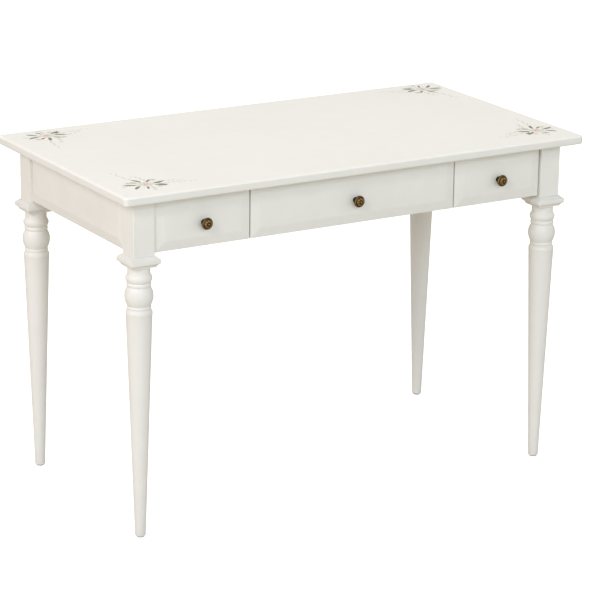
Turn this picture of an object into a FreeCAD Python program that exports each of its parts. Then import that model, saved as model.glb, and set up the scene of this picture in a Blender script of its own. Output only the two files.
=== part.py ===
import FreeCAD, Part
import os
import re

import Sketcher

# A painted dressing table: a slab top on a doweled frame with four corner posts, four turned legs
# that screw into the posts, and three drawers that slide forward on wooden runners.
# Origin: bottom centre of the table. +X to the right, -Y towards the sitter, +Z up. Millimetres.

SIZES = [
    # the whole table
    ("table_width", 1150, "left to right, over the top"),
    ("table_depth", 620, "front to back, over the top"),
    ("table_height", 770, "floor to the upper face of the top"),
    ("top_thickness", 20, "slab"),
    ("top_corner", 9, "plan radius of the slab's corners"),
    ("top_arris", 4.5, "rounding of the slab's edges"),
    # posts and aprons
    ("leg_inset", 62, "edge of the top to the axis of a leg"),
    ("post_side", 50, "square post"),
    ("post_foot", 628, "level of the joint between post and leg"),
    ("post_arris", 1.5, "rounding of the post's upright edges"),
    ("panel_foot", 632, "lower edge of the aprons and drawer fronts"),
    ("panel_setback", 2, "raised field behind the face of the post"),
    ("apron_thickness", 20, "side and back aprons"),
    ("bevel_width", 22, "every bevel, from the rim to the field"),
    ("bevel_depth", 5, "fall of every bevel"),
    # front rails, dividers and guide boards
    ("rail_thickness", 18, "flat front rails"),
    ("rail_width", 50, "front to back"),
    ("rail_foot", 634, "underside of the lower rail"),
    ("rail_gap", 1, "drawer front to rail when closed"),
    ("divider_thickness", 18, "board between two drawers"),
    ("divider_centre", 258, "middle of the table to the middle of a divider"),
    ("guide_height", 60, "board beside an outer drawer"),
    ("guide_foot", 662, "lower edge of a guide board"),
    # drawers
    ("front_gap", 3, "gap beside a drawer front"),
    ("front_top_gap", 3, "gap above a drawer front"),
    ("front_thickness", 18, "drawer front"),
    ("knob_level", 685, "middle of the knobs"),
    ("box_length", 420, "drawer side"),
    ("box_height", 72, "drawer side"),
    ("box_wall", 12, "drawer side, box front and back"),
    ("box_foot", 656, "lower edge of a drawer box"),
    ("box_clearance", 4, "drawer side to divider or guide board"),
    ("bottom_thickness", 4, "plywood bottom"),
    ("bottom_rise", 6, "lower edge of the box to its bottom"),
    ("bottom_tongue", 5, "depth of the groove that holds the bottom"),
    ("slot_depth", 6.5, "runner groove in a drawer side"),
    ("slot_height", 15, "runner groove in a drawer side"),
    ("slot_foot", 684.5, "lower edge of the runner groove"),
    ("runner_thickness", 10, "runner, out from its board"),
    ("runner_height", 14, "runner"),
    ("runner_length", 420, "runner"),
    ("runner_start", 3, "back of a drawer front to the end of its runners"),
    # turned leg: radii and levels from the foot upwards
    ("glide_height", 2.5, "nylon disc under the foot"),
    ("glide_radius", 8.5, "nylon disc"),
    ("glide_pin", 1.5, "radius of the disc's pin"),
    ("glide_pin_length", 14, "pin above the disc"),
    ("foot_radius", 10.2, "flat of the foot"),
    ("foot_round", 11.4, "end of the taper"),
    ("foot_round_level", 6, "end of the taper"),
    ("shoulder_radius", 28.2, "top of the taper"),
    ("shoulder_level", 499, "top of the taper"),
    ("shoulder_arc", 12, "rounding above the taper"),
    ("groove_radius", 24.2, "bottom of every groove"),
    ("groove_1", 511.5, "level of the first groove"),
    ("groove_2", 518.5, "level of the second groove"),
    ("groove_3", 560, "level of the third groove"),
    ("groove_4", 569, "level of the fourth groove"),
    ("groove_5", 587, "level of the fifth groove"),
    ("low_ring_arc", 4.1, "profile radius of the lower thin ring"),
    ("high_ring_arc", 5.9, "profile radius of the upper thin ring"),
    ("ball_arc", 36.4, "profile radius of the large bead"),
    ("bead_arc", 11.9, "profile radius of the small bead"),
    ("collar_foot", 604, "lower edge of the collar"),
    ("collar_low", 613, "lower edge of the collar's nose"),
    ("collar_high", 621, "upper edge of the collar's nose"),
    ("collar_side", 70, "square over the nose"),
    ("collar_neck", 56, "square at the lower edge"),
    ("collar_shelf", 53, "square at the upper edge"),
    # knob: radii and distances from the face of the drawer front
    ("knob_base", 6.5, "radius of the base"),
    ("knob_base_height", 2, "thickness of the base"),
    ("knob_neck", 4.8, "radius of the neck"),
    ("knob_neck_end", 9, "neck to head"),
    ("knob_head", 13, "radius of the head"),
    ("knob_rim_low", 14.5, "back of the rim"),
    ("knob_rim_high", 17, "front of the rim"),
    ("knob_height", 25, "over everything"),
    ("knob_dome", 14.5625, "profile radius of the dome"),
    ("knob_bore_depth", 12, "screw hole in the knob"),
    # fasteners
    ("dowel_radius", 4, "beech dowels"),
    ("dowel_long", 36, "apron and rail joints"),
    ("dowel_short", 28, "divider joints"),
    ("dowel_low", 660, "lower apron dowel"),
    ("dowel_high", 722, "upper apron dowel"),
    ("rail_dowel_offset", 10, "rail dowels, behind the axis of the leg"),
    ("divider_dowel_bite", 10, "divider dowel in the back apron"),
    ("bolt_radius", 4, "hanger bolt"),
    ("bolt_in_leg", 50, "hanger bolt below the joint"),
    ("bolt_in_post", 22, "hanger bolt above the joint"),
    ("insert_radius", 6.5, "insert nut"),
    ("insert_length", 25, "insert nut"),
    ("screw_radius", 2, "all screws"),
    ("head_radius", 4, "screw heads"),
    ("head_height", 2, "screw heads"),
    ("rail_screw_length", 30, "top screws, below the head"),
    ("rail_screw_bite", 12, "top screws in the top"),
    ("rail_screw_outer", 400, "middle of the table to an outer top screw"),
    ("rail_screw_inner", 130, "middle of the table to an inner top screw"),
    ("runner_screw_bite", 14, "runner screws in their board"),
    ("knob_screw_play", 1, "tip of a knob's screw to the end of its bore"),
    ("front_screw_bite", 10, "front screws in the drawer front"),
    ("bracket_leg", 25, "angle bracket"),
    ("bracket_width", 20, "angle bracket"),
    ("bracket_thickness", 2, "angle bracket"),
    ("bracket_hole", 15, "corner of a bracket to its screws"),
    ("bracket_screw_bite", 14, "bracket screws in the wood"),
    ("side_bracket_place", 120, "middle of a side apron to its brackets"),
    ("back_bracket_place", 400, "middle of the back apron to its brackets"),
]

size = {alias: value for alias, value, use in SIZES}
doc = FreeCAD.newDocument("DressingTable")
sheet = doc.addObject("Spreadsheet::Sheet", "Sizes")
for row, (alias, value, use) in enumerate(SIZES, start=1):
    sheet.set(f"A{row}", alias)
    sheet.set(f"B{row}", str(value))
    sheet.set(f"C{row}", use)
    sheet.setAlias(f"B{row}", alias)
doc.recompute()

nodes = {}
X = FreeCAD.Vector(1, 0, 0)
Y = FreeCAD.Vector(0, 1, 0)
Z = FreeCAD.Vector(0, 0, 1)

# Distances that many pieces share, as formulas of the sheet.
AXIS_X = "(table_width / 2 - leg_inset)"
AXIS_Y = "(table_depth / 2 - leg_inset)"
INNER_X = "(table_width / 2 - leg_inset - post_side / 2)"
INNER_Y = "(table_depth / 2 - leg_inset - post_side / 2)"
FACE_X = "(table_width / 2 - leg_inset + post_side / 2 - panel_setback)"
FACE_Y = "(table_depth / 2 - leg_inset + post_side / 2 - panel_setback)"
UNDER_TOP = "(table_height - top_thickness)"
FRONT_BACK = f"(-{FACE_Y} + front_thickness)"
RAIL_FRONT = f"({FRONT_BACK} + rail_gap)"


def with_sheet(formula):
    """Point every alias of a formula at the sheet."""
    return re.sub(r"[a-z]\w*", lambda word: "Sizes." + word.group(), formula)


def bind(obj, **formulas):
    """Bind properties of an object to formulas of the sheet's aliases."""
    for name, formula in formulas.items():
        obj.setExpression(name, with_sheet(formula))
    return obj


def put(obj, place, direction=None):
    """Bind an object's place to three formulas, after turning its own +Z to a direction."""
    if direction is not None:
        obj.Placement = FreeCAD.Placement(FreeCAD.Vector(), FreeCAD.Rotation(Z, direction))
    for axis, formula in zip("xyz", place):
        obj.setExpression(f"Placement.Base.{axis}", with_sheet(formula))
    return obj


def keep(node, obj):
    """Make an object a finished sub-part: its label is the node's name."""
    obj.Label = node
    nodes[node] = obj
    return obj


def block(name, lengths, corner):
    """A square-edged board: three lengths from its lowest corner."""
    board = doc.addObject("Part::Box", name)
    bind(board, Length=lengths[0], Width=lengths[1], Height=lengths[2])
    return put(board, corner)


def rod(name, radius, length, start, direction):
    """A cylinder of a radius and length that starts at a point and runs in a direction."""
    cylinder = doc.addObject("Part::Cylinder", name)
    bind(cylinder, Radius=radius, Height=length)
    return put(cylinder, start, direction)


def together(name, pieces):
    """Separate solids kept side by side in one object."""
    compound = doc.addObject("Part::Compound", name)
    compound.Links = pieces
    return compound


def fused(name, pieces):
    """Touching solids made one."""
    union = doc.addObject("Part::MultiFuse", name)
    union.Shapes = pieces
    union.Refine = True
    return union


def less(name, base, tool):
    """A solid with another taken out of it."""
    cut = doc.addObject("Part::Cut", name)
    cut.Base = base
    cut.Tool = tool
    return cut


def screw(name, length, tip, direction):
    """A plain screw: shank and flat head, from its tip back along a direction to its head."""
    shank = rod(f"{name}_shank", "screw_radius", f"{length} + head_height", tip, direction)
    steps = [f"{start} + ({length}) * ({part})" for start, part in zip(tip, direction)]
    head = rod(f"{name}_head", "head_radius", "head_height", steps, direction)
    return fused(name, [shank, head])


def origin_plane(body, role):
    """One of a body's own origin planes."""
    return next(plane for plane in body.Origin.OriginFeatures if plane.Role == role)


def eased_block(node, lengths, corner, edge_radius, arris=None):
    """A board with rounded upright edges and, with an arris, rounded rims above and below.

    An edge counts as upright, or a face as level, when its direction has almost no slope.
    """
    steep = 0.9
    body = doc.addObject("PartDesign::Body", f"{node}_body")
    blank = body.newObject("PartDesign::AdditiveBox", f"{node}_blank")
    bind(blank, Length=lengths[0], Width=lengths[1], Height=lengths[2])
    doc.recompute()
    upright = [f"Edge{number}" for number, edge in enumerate(blank.Shape.Edges, start=1)
               if abs(edge.tangentAt(edge.FirstParameter).z) > steep]
    eased = body.newObject("PartDesign::Fillet", f"{node}_corners")
    eased.Base = (blank, upright)
    bind(eased, Radius=edge_radius)
    if arris:
        doc.recompute()
        level = [f"Face{number}" for number, face in enumerate(eased.Shape.Faces, start=1)
                 if abs(face.normalAt(0, 0).z) > steep]
        rims = body.newObject("PartDesign::Fillet", f"{node}_rims")
        rims.Base = (eased, level)
        bind(rims, Radius=arris)
    return put(body, corner)


def arc_between(start, end, radius, outward):
    """The arc of a radius from start up to end that bulges away from or towards the axis."""
    chord = end - start
    to_centre = (radius ** 2 - (chord.Length / 2) ** 2) ** 0.5
    side = FreeCAD.Vector(-chord.y, chord.x, 0).normalize() * to_centre
    centre = (start + end) / 2 + (side if outward else -side)
    first, last = (start, end) if outward else (end, start)
    rays = [point - centre for point in (first, last)]
    begin, finish = [X.getAngle(ray) * (1 if ray.y >= 0 else -1) for ray in rays]
    return Part.ArcOfCircle(Part.Circle(centre, Z, radius), begin, finish)


def turned(name, stations):
    """A turning about its own Z: stations are (radius, level, arc to the next station).

    An arc is None for a straight stretch, or the alias of a profile radius with + for a bulge
    away from the axis and - for a hollow. The outline closes from the last station to the first.
    A word that is not in the sheet, such as "axis" or "face", stands for zero.
    """
    body = doc.addObject("PartDesign::Body", f"{name}_turning")
    sketch = body.newObject("Sketcher::SketchObject", f"{name}_outline")
    sketch.AttachmentSupport = [(origin_plane(body, "XZ_Plane"), "")]
    sketch.MapMode = "FlatFace"
    points = [FreeCAD.Vector(size.get(radius, 0), size.get(level, 0), 0)
              for radius, level, arc in stations]
    first_end = []
    last_end = []
    for number, (radius, level, arc) in enumerate(stations):
        start = points[number]
        end = points[(number + 1) % len(points)]
        if arc is None:
            sketch.addGeometry(Part.LineSegment(start, end), False)
            outward = True
        else:
            outward = arc[0] == "+"
            sketch.addGeometry(arc_between(start, end, size[arc[1:]], outward), False)
        first_end.append(1 if outward else 2)
        last_end.append(2 if outward else 1)
    for number in range(len(stations)):
        after = (number + 1) % len(stations)
        sketch.addConstraint(
            Sketcher.Constraint("Coincident", number, last_end[number], after, first_end[after]))
    for number, (radius, level, arc) in enumerate(stations):
        corner = first_end[number]
        for kind, alias, axis, word in (
            ("DistanceX", radius, -2, "radius"),
            ("DistanceY", level, -1, "level"),
        ):
            if alias not in size:
                sketch.addConstraint(Sketcher.Constraint("PointOnObject", number, corner, axis))
                continue
            index = sketch.addConstraint(Sketcher.Constraint(kind, -1, 1, number, corner, size[alias]))
            sketch.renameConstraint(index, f"{word}_{number}")
            sketch.setExpression(f"Constraints.{word}_{number}", with_sheet(alias))
        if arc is not None:
            index = sketch.addConstraint(Sketcher.Constraint("Radius", number, size[arc[1:]]))
            sketch.renameConstraint(index, f"arc_{number}")
            sketch.setExpression(f"Constraints.arc_{number}", with_sheet(arc[1:]))
    turning = body.newObject("PartDesign::Revolution", f"{name}_revolution")
    turning.Profile = sketch
    turning.ReferenceAxis = (sketch, ["V_Axis"])
    turning.Angle = 360
    return body


def frustum(name, low_side, high_side, low, high):
    """A square frustum on the Z axis between two levels."""
    wedge = doc.addObject("Part::Wedge", name)
    bind(wedge, Xmin=f"-{low_side} / 2", Xmax=f"{low_side} / 2", Zmin=f"-{low_side} / 2",
         Zmax=f"{low_side} / 2", X2min=f"-{high_side} / 2", X2max=f"{high_side} / 2",
         Z2min=f"-{high_side} / 2", Z2max=f"{high_side} / 2", Ymin=low, Ymax=high)
    wedge.Placement = FreeCAD.Placement(FreeCAD.Vector(), FreeCAD.Rotation(Y, Z))
    return wedge


def raised_panel(name, length, height, thickness, place, turn):
    """A board facing +Y, with a raised field and a bevel all round, then turned by degrees about Z."""
    rim = f"({thickness} - bevel_depth)"
    slab = block(f"{name}_slab", (length, rim, height), (f"-({length}) / 2", "0", "0"))
    field = doc.addObject("Part::Wedge", f"{name}_field")
    bind(field, Xmin=f"-({length}) / 2", Xmax=f"({length}) / 2", Zmin="0", Zmax=height,
         X2min=f"-({length}) / 2 + bevel_width", X2max=f"({length}) / 2 - bevel_width",
         Z2min="bevel_width", Z2max=f"{height} - bevel_width", Ymin=rim, Ymax=thickness)
    panel = fused(f"{name}_panel", [slab, field])
    panel.Placement = FreeCAD.Placement(FreeCAD.Vector(), FreeCAD.Rotation(Z, turn))
    return put(panel, place)


# Dowels: each is also the tool that cuts its own hole in the two pieces it joins.
def dowel(length, middle, direction):
    """A dowel centred on a point of the joint's face."""
    start = [f"{place} - {length} / 2 * ({part})" for place, part in zip(middle, direction)]
    return rod("dowel", "dowel_radius", length, start, direction)


DOWEL_LEVELS = ("dowel_low", "dowel_high")
RAIL_MIDDLES = ("(rail_foot + rail_thickness / 2)", f"({UNDER_TOP} - rail_thickness / 2)")
RIM_MIDDLE = "(apron_thickness + bevel_depth) / 2"
DOWEL_Y = f"(-{AXIS_Y} + rail_dowel_offset)"
dowel_list = []
for side in (-1, 1):
    apron_x = f"{side} * ({FACE_X} - {RIM_MIDDLE})"
    for level in DOWEL_LEVELS:
        for end in (-1, 1):
            dowel_list.append(dowel("dowel_long", (apron_x, f"{end} * {INNER_Y}", level), Y))
        back_y = f"({FACE_Y} - {RIM_MIDDLE})"
        dowel_list.append(dowel("dowel_long", (f"{side} * {INNER_X}", back_y, level), X))
    for level in RAIL_MIDDLES:
        dowel_list.append(dowel("dowel_long", (f"{side} * {INNER_X}", DOWEL_Y, level), X))
    divider_x = f"{side} * divider_centre"
    rail_y = f"({RAIL_FRONT} + rail_width / 2)"
    for level in ("rail_foot + rail_thickness", f"{UNDER_TOP} - rail_thickness"):
        dowel_list.append(dowel("dowel_short", (divider_x, rail_y, level), Z))
    divider_end = f"{FACE_Y} - apron_thickness - dowel_short / 2 + divider_dowel_bite"
    dowel_list.append(dowel("dowel_short", (divider_x, divider_end, "(dowel_low + dowel_high) / 2"), Y))
dowels = keep("frame_dowels", together("dowels", dowel_list))

# Tabletop fastenings: screws through the upper front rail, and angle brackets on the aprons.
rail_screws = []
for place in ("-rail_screw_outer", "-rail_screw_inner", "rail_screw_inner", "rail_screw_outer"):
    tip = (place, f"{RAIL_FRONT} + rail_width / 2", f"{UNDER_TOP} + rail_screw_bite")
    rail_screws.append(screw("rail_screw", "rail_screw_length", tip, -Z))
top_screws = keep("tabletop_screws", together("top_screws", rail_screws))

INSIDE_X = f"({FACE_X} - apron_thickness)"
INSIDE_Y = f"({FACE_Y} - apron_thickness)"
bracket_list = []
bracket_screw_list = []


def bracket(name, wall, inward, along):
    """An angle bracket in the corner of an apron and the top, and its two screws.

    wall is a point on the apron's inner face below the top, inward points away from the apron,
    and along is a string for the side that the bracket's width follows.
    """
    half = "bracket_width / 2"
    over_x = f"{wall[0]} - {half}" if along == "x" else f"{wall[0]} + ({min(inward.x, 0)}) * bracket_leg"
    over_y = f"{wall[1]} - {half}" if along == "y" else f"{wall[1]} + ({min(inward.y, 0)}) * bracket_leg"
    wide_x = "bracket_width" if along == "x" else "bracket_leg"
    wide_y = "bracket_width" if along == "y" else "bracket_leg"
    level = block(f"{name}_level", (wide_x, wide_y, "bracket_thickness"),
                  (over_x, over_y, f"{UNDER_TOP} - bracket_thickness"))
    thin_x = "bracket_width" if along == "x" else "bracket_thickness"
    thin_y = "bracket_width" if along == "y" else "bracket_thickness"
    foot_x = over_x if along == "x" else f"{wall[0]} + ({min(inward.x, 0)}) * bracket_thickness"
    foot_y = over_y if along == "y" else f"{wall[1]} + ({min(inward.y, 0)}) * bracket_thickness"
    upright = block(f"{name}_upright", (thin_x, thin_y, "bracket_leg"),
                    (foot_x, foot_y, f"{UNDER_TOP} - bracket_leg"))
    length = "bracket_screw_bite + bracket_thickness"
    middle = [f"{place} + ({part}) * bracket_hole" for place, part in zip(wall[:2], inward)]
    up_screw = screw(f"{name}_up_screw", length, (*middle, f"{UNDER_TOP} + bracket_screw_bite"), -Z)
    tip = [f"{place} - ({part}) * bracket_screw_bite" for place, part in zip(wall[:2], inward)]
    wall_screw = screw(f"{name}_wall_screw", length, (*tip, f"{UNDER_TOP} - bracket_hole"), inward)
    angle = fused(f"{name}_angle", [level, upright])
    screws = together(f"{name}_screws", [up_screw, wall_screw])
    bracket_list.append(less(name, angle, screws))
    bracket_screw_list.extend([up_screw, wall_screw])


for side in (-1, 1):
    for place in ("-side_bracket_place", "side_bracket_place"):
        bracket("side_bracket", (f"{side} * {INSIDE_X}", place), -side * X, "y")
    bracket("back_bracket", (f"{side} * back_bracket_place", INSIDE_Y), -Y, "x")
brackets = keep("top_brackets", together("brackets", bracket_list))
bracket_screws = keep("bracket_screws", together("bracket_screw_set", bracket_screw_list))

# Tabletop
slab = eased_block("top", ("table_width", "table_depth", "top_thickness"),
                   ("-table_width / 2", "-table_depth / 2", UNDER_TOP), "top_corner", "top_arris")
top_fixings = together("top_fixings", [top_screws, bracket_screws])
keep("tabletop", less("top_bored", slab, top_fixings))

# Posts, legs, their bolts and the glides, corner by corner
bolt_list = []
insert_list = []
glide_list = []
LEG_OUTLINE = [
    ("axis", "glide_height", None),
    ("foot_radius", "glide_height", None),
    ("foot_round", "foot_round_level", None),
    ("shoulder_radius", "shoulder_level", "+shoulder_arc"),
    ("groove_radius", "groove_1", "+low_ring_arc"),
    ("groove_radius", "groove_2", "+ball_arc"),
    ("groove_radius", "groove_3", "+high_ring_arc"),
    ("groove_radius", "groove_4", "+bead_arc"),
    ("groove_radius", "groove_5", None),
    ("groove_radius", "collar_low", None),
    ("axis", "collar_low", None),
]
for depth_word, depth in (("front", -1), ("back", 1)):
    for side_word, side in (("left", -1), ("right", 1)):
        corner = f"{depth_word}_{side_word}"
        axis = (f"{side} * {AXIS_X}", f"{depth} * {AXIS_Y}")
        bolt = rod("bolt", "bolt_radius", "bolt_in_leg + bolt_in_post",
                   (*axis, "post_foot - bolt_in_leg"), Z)
        shell = rod("insert_shell", "insert_radius", "insert_length", (*axis, "post_foot"), Z)
        bore = rod("insert_bore", "bolt_radius", "insert_length", (*axis, "post_foot"), Z)
        bolt_list.append(bolt)
        insert_list.append(less("insert", shell, bore))
        disc = rod("glide_disc", "glide_radius", "glide_height", (*axis, "0"), Z)
        pin = rod("glide_pin", "glide_pin", "glide_height + glide_pin_length", (*axis, "0"), Z)
        glide = fused("glide", [disc, pin])
        glide_list.append(glide)

        post_corner = [f"{place} - post_side / 2" for place in axis]
        post = eased_block(f"{corner}_square", ("post_side", "post_side", f"{UNDER_TOP} - post_foot"),
                           (*post_corner, "post_foot"), "post_arris")
        joints = together(f"{corner}_post_joints", [dowels, shell])
        keep(f"{corner}_post", less(f"{corner}_post_bored", post, joints))

        collar = [
            frustum(f"{corner}_collar_cove", "collar_neck", "collar_side", "collar_foot", "collar_low"),
            frustum(f"{corner}_collar_nose", "collar_side", "collar_side", "collar_low", "collar_high"),
            frustum(f"{corner}_collar_slope", "collar_side", "collar_shelf", "collar_high", "post_foot"),
        ]
        blank = put(fused(f"{corner}_leg_blank", [turned(corner, LEG_OUTLINE), *collar]), (*axis, "0"))
        leg_holes = together(f"{corner}_leg_holes", [bolt, glide])
        keep(f"{corner}_leg", less(f"{corner}_leg_bored", blank, leg_holes))
keep("leg_bolts", together("bolts", bolt_list))
keep("leg_insert_nuts", together("inserts", insert_list))
keep("foot_glides", together("glides", glide_list))

# Aprons
panel_height = f"({UNDER_TOP} - panel_foot)"
apron_holes = together("apron_holes", [dowels, bracket_screws])
for side_word, side in (("left", -1), ("right", 1)):
    panel = raised_panel(f"side_apron_{side_word}", f"(2 * {INNER_Y})", panel_height, "apron_thickness",
                         (f"{side} * {INSIDE_X}", "0", "panel_foot"), -90 * side)
    keep(f"{side_word}_side_apron", less(f"side_apron_{side_word}_bored", panel, apron_holes))
back_panel = raised_panel("back_apron", f"(2 * {INNER_X})", panel_height, "apron_thickness",
                          ("0", INSIDE_Y, "panel_foot"), 0)
keep("back_apron", less("back_apron_bored", back_panel, apron_holes))

# Front rails: flat boards between the front posts, one under the drawers and one over them
rail_holes = together("rail_holes", [dowels, top_screws])
for word, level in (("bottom", "rail_foot"), ("top", f"({UNDER_TOP} - rail_thickness)")):
    rail = block(f"front_{word}", (f"2 * {INNER_X}", "rail_width", "rail_thickness"),
                 (f"-{INNER_X}", RAIL_FRONT, level))
    keep(f"front_{word}_rail", less(f"front_{word}_bored", rail, rail_holes))

# Dividers, notched round both rails, and the guide boards beside the outer drawers
RUNNER_LEVEL = "(slot_foot + (slot_height - runner_height) / 2)"
RUNNER_FRONT = f"({FRONT_BACK} + runner_start)"
RUNNER_SCREWS = (40, 200, 360)
SCREW_STAGGER = 10
RUNNER_SCREW_LENGTH = "runner_thickness - head_height + runner_screw_bite"
runner_screw_list = []


def runner(node, board_face, outward):
    """A runner on a board's face at x, standing out to +X or -X, and its three screws."""
    low_x = f"{board_face} + {min(outward, 0)} * runner_thickness"
    strip = block(f"{node}_strip", ("runner_thickness", "runner_length", "runner_height"),
                  (low_x, RUNNER_FRONT, RUNNER_LEVEL))
    screws = []
    for place in RUNNER_SCREWS:
        tip_x = f"{board_face} - {outward} * runner_screw_bite"
        level = f"{RUNNER_LEVEL} + runner_height / 2"
        tip = (tip_x, f"{RUNNER_FRONT} + {place + SCREW_STAGGER * outward}", level)
        screws.append(screw(f"{node}_screw", RUNNER_SCREW_LENGTH, tip, outward * X))
    runner_screw_list.extend(screws)
    keep(node, less(f"{node}_bored", strip, together(f"{node}_screws", screws)))


for side_word, side in (("left", -1), ("right", 1)):
    inner_face = f"{side} * (divider_centre - divider_thickness / 2)"
    outer_face = f"{side} * (divider_centre + divider_thickness / 2)"
    runner(f"centre_drawer_{side_word}_runner", inner_face, -side)
    runner(f"{side_word}_drawer_inner_runner", outer_face, side)
    runner(f"{side_word}_drawer_outer_runner", f"{side} * {INNER_X}", -side)
runner_screws = keep("runner_screws", together("runner_screw_set", runner_screw_list))

board_holes = together("board_holes", [dowels, runner_screws])
for side_word, side in (("left", -1), ("right", 1)):
    low_x = f"{side} * divider_centre - divider_thickness / 2"
    reach = f"({INSIDE_Y} - {RAIL_FRONT})"
    board = block(f"{side_word}_board", ("divider_thickness", reach, f"{UNDER_TOP} - rail_foot"),
                  (low_x, RAIL_FRONT, "rail_foot"))
    notches = [
        block(f"{side_word}_notch", ("divider_thickness", "rail_width", "rail_thickness"),
              (low_x, RAIL_FRONT, level))
        for level in ("rail_foot", f"{UNDER_TOP} - rail_thickness")
    ]
    taken = together(f"{side_word}_divider_cuts", [*notches, board_holes])
    keep(f"{side_word}_divider", less(f"{side_word}_divider_cut", board, taken))

    low_x = f"-{INSIDE_X}" if side < 0 else INNER_X
    guide = block(f"{side_word}_guide", (f"{INSIDE_X} - {INNER_X}", f"2 * {INNER_Y}", "guide_height"),
                  (low_x, f"-{INNER_Y}", "guide_foot"))
    keep(f"{side_word}_guide_board", less(f"{side_word}_guide_bored", guide, board_holes))

# Drawers: each box hangs by its grooves on two runners, and its front covers the rails
KNOB_OUTLINE = [
    ("screw_radius", "face", None),
    ("knob_base", "face", None),
    ("knob_base", "knob_base_height", None),
    ("knob_neck", "knob_base_height", None),
    ("knob_neck", "knob_neck_end", None),
    ("knob_head", "knob_rim_low", None),
    ("knob_head", "knob_rim_high", "+knob_dome"),
    ("axis", "knob_height", None),
    ("axis", "knob_bore_depth", None),
    ("screw_radius", "knob_bore_depth", None),
]
front_height = f"({UNDER_TOP} - front_top_gap - panel_foot)"


def drawer(word, box_middle, box_width, front_middle, front_width, screw_places):
    """One drawer: its front, knob, five-piece box and screws."""
    low = f"{box_middle} - {box_width} / 2"
    high = f"{box_middle} + {box_width} / 2"
    back_end = f"({FRONT_BACK} + box_length)"
    floor = "(box_foot + bottom_rise)"
    inside = f"{box_width} - 2 * box_wall"

    screw_end = (front_middle, f"-{FACE_Y} - knob_bore_depth + knob_screw_play", "knob_level")
    screw_length = "knob_bore_depth - knob_screw_play + front_thickness + box_wall"
    knob_screw = keep(f"{word}_drawer_knob_screw",
                      screw(f"{word}_knob_screw", screw_length, screw_end, Y))
    front_screws = []
    for place in screw_places:
        tip = (f"{front_middle} + {place}", f"{FRONT_BACK} - front_screw_bite", "knob_level")
        front_screws.append(screw(f"{word}_front_screw", "front_screw_bite + box_wall", tip, Y))
    screws = keep(f"{word}_drawer_front_screws", together(f"{word}_front_screws", front_screws))
    holes = together(f"{word}_front_holes", [knob_screw, screws])

    panel = raised_panel(f"{word}_front", front_width, front_height, "front_thickness",
                         (front_middle, FRONT_BACK, "panel_foot"), 180)
    keep(f"{word}_drawer_front", less(f"{word}_front_bored", panel, holes))

    knob = turned(f"{word}_knob", KNOB_OUTLINE)
    keep(f"{word}_drawer_knob", put(knob, (front_middle, f"-{FACE_Y}", "knob_level"), -Y))

    bottom_x = f"{low} + box_wall - bottom_tongue"
    bottom_y = f"{FRONT_BACK} + box_wall - bottom_tongue"
    bottom = block(f"{word}_bottom", (f"{inside} + 2 * bottom_tongue",
                                      "box_length - box_wall + bottom_tongue", "bottom_thickness"),
                   (bottom_x, bottom_y, floor))
    keep(f"{word}_drawer_bottom", bottom)

    box_front = block(f"{word}_inner", (inside, "box_wall", "box_height"),
                      (f"{low} + box_wall", FRONT_BACK, "box_foot"))
    front_cuts = together(f"{word}_box_front_cuts", [bottom, holes])
    keep(f"{word}_drawer_box_front", less(f"{word}_box_front", box_front, front_cuts))

    back_foot = f"({floor} + bottom_thickness)"
    back = block(f"{word}_back", (inside, "box_wall", f"box_foot + box_height - {back_foot}"),
                 (f"{low} + box_wall", f"{back_end} - box_wall", back_foot))
    keep(f"{word}_drawer_back", back)

    for side_word, wall_x, slot_x in (
        ("left", low, low),
        ("right", f"{high} - box_wall", f"{high} - slot_depth"),
    ):
        wall = block(f"{word}_{side_word}_wall", ("box_wall", "box_length", "box_height"),
                     (wall_x, FRONT_BACK, "box_foot"))
        slot = block(f"{word}_{side_word}_slot", ("slot_depth", "box_length", "slot_height"),
                     (slot_x, FRONT_BACK, "slot_foot"))
        cuts = together(f"{word}_{side_word}_cuts", [slot, bottom])
        keep(f"{word}_drawer_{side_word}_side", less(f"{word}_{side_word}_side", wall, cuts))


CENTRE_FRONT_SCREWS = (-200, -70, 70, 200)
OUTER_FRONT_SCREWS = (-60, 60)
drawer("centre", "0", "(2 * divider_centre - divider_thickness - 2 * box_clearance)",
       "0", "(2 * divider_centre - front_gap)", CENTRE_FRONT_SCREWS)
for side_word, side in (("left", -1), ("right", 1)):
    drawer(side_word,
           f"({side} * ({INNER_X} + divider_centre + divider_thickness / 2) / 2)",
           f"({INNER_X} - divider_centre - divider_thickness / 2 - 2 * box_clearance)",
           f"({side} * ({INNER_X} + divider_centre - front_gap / 2) / 2)",
           f"({INNER_X} - divider_centre - 1.5 * front_gap)", OUTER_FRONT_SCREWS)

# Every object has to be sound before anything is written.
doc.recompute()
for obj in doc.Objects:
    if {"Invalid", "Error"} & set(obj.State):
        raise RuntimeError(f"{obj.Name} did not build: {obj.State}")
for node, obj in nodes.items():
    if obj.Shape.isNull() or not obj.Shape.isValid() or not obj.Shape.Solids:
        raise RuntimeError(f"{node} has no sound solid")

os.makedirs("parts", exist_ok=True)
for node, obj in nodes.items():
    obj.Shape.exportStep(f"parts/{node}.step")
    print(f"{node}: {len(obj.Shape.Solids)} solid(s), {obj.Shape.Volume / 1000:.1f} cm3")
print(len(nodes), "nodes")
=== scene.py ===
import math

import bpy
import numpy as np
from mathutils import Matrix, Vector


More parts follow.
